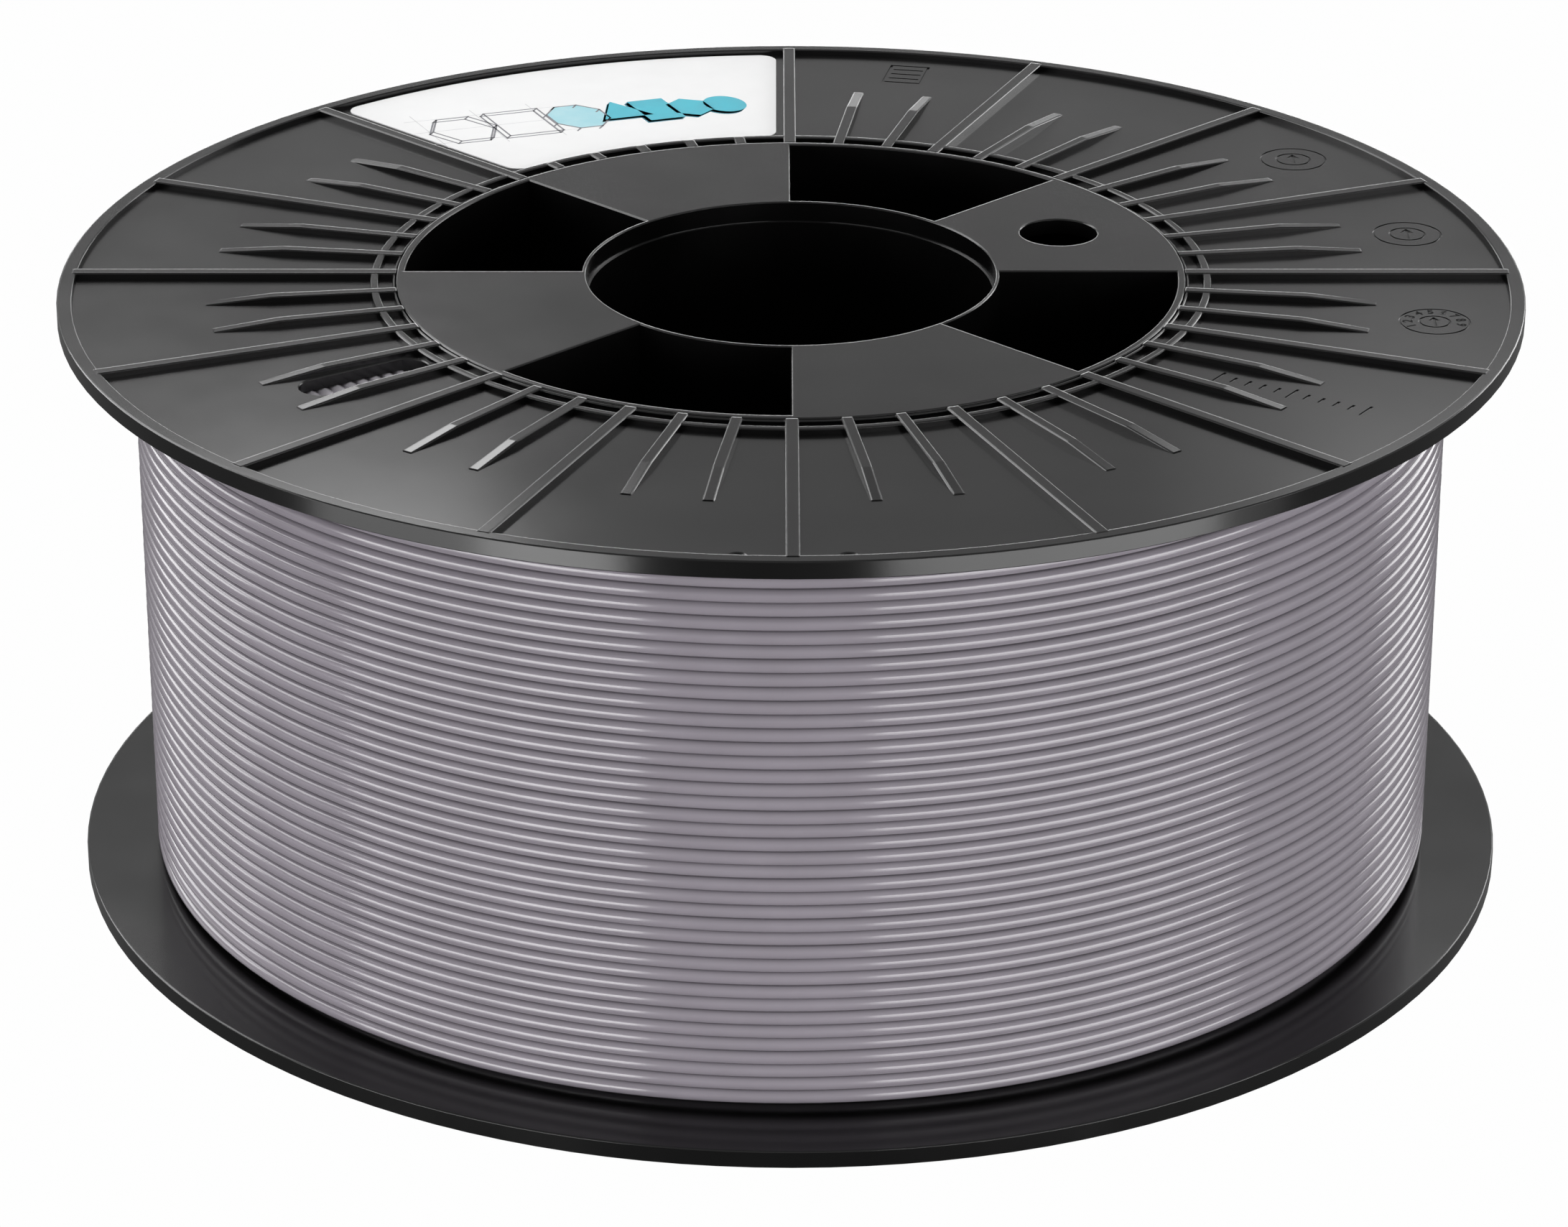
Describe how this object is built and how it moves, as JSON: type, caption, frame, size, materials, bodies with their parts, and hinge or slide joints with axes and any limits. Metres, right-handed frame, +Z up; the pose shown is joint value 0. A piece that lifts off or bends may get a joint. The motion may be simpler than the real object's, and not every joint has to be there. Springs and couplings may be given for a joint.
{
  "type": "filament spool",
  "caption": "Wide ribbed-flange plastic spool with a pocketed hub and a full winding of round filament between its flanges.",
  "frame": {"origin": "centre of the base, on the axis, in the plane of the lower flange's ribs and the hub", "axes": "+Z up the spool's axis towards the labelled flange; +Y towards the label's straight right edge; -Y towards the two small holes in the upper flange's rim"},
  "size_m": [0.185, 0.185, 0.0775],
  "materials": {
    "spool_plastic": "satin moulded black polystyrene",
    "filament_plastic": "satin-gloss silver grey filament with a faint lilac cast",
    "label_paper": "white coated paper label"
  },
  "bodies": {
    "root": {"upper_flange": "spool_plastic", "lower_flange": "spool_plastic", "core": "spool_plastic", "label": "label_paper", "filament": "filament_plastic"}
  },
  "joints": []
}
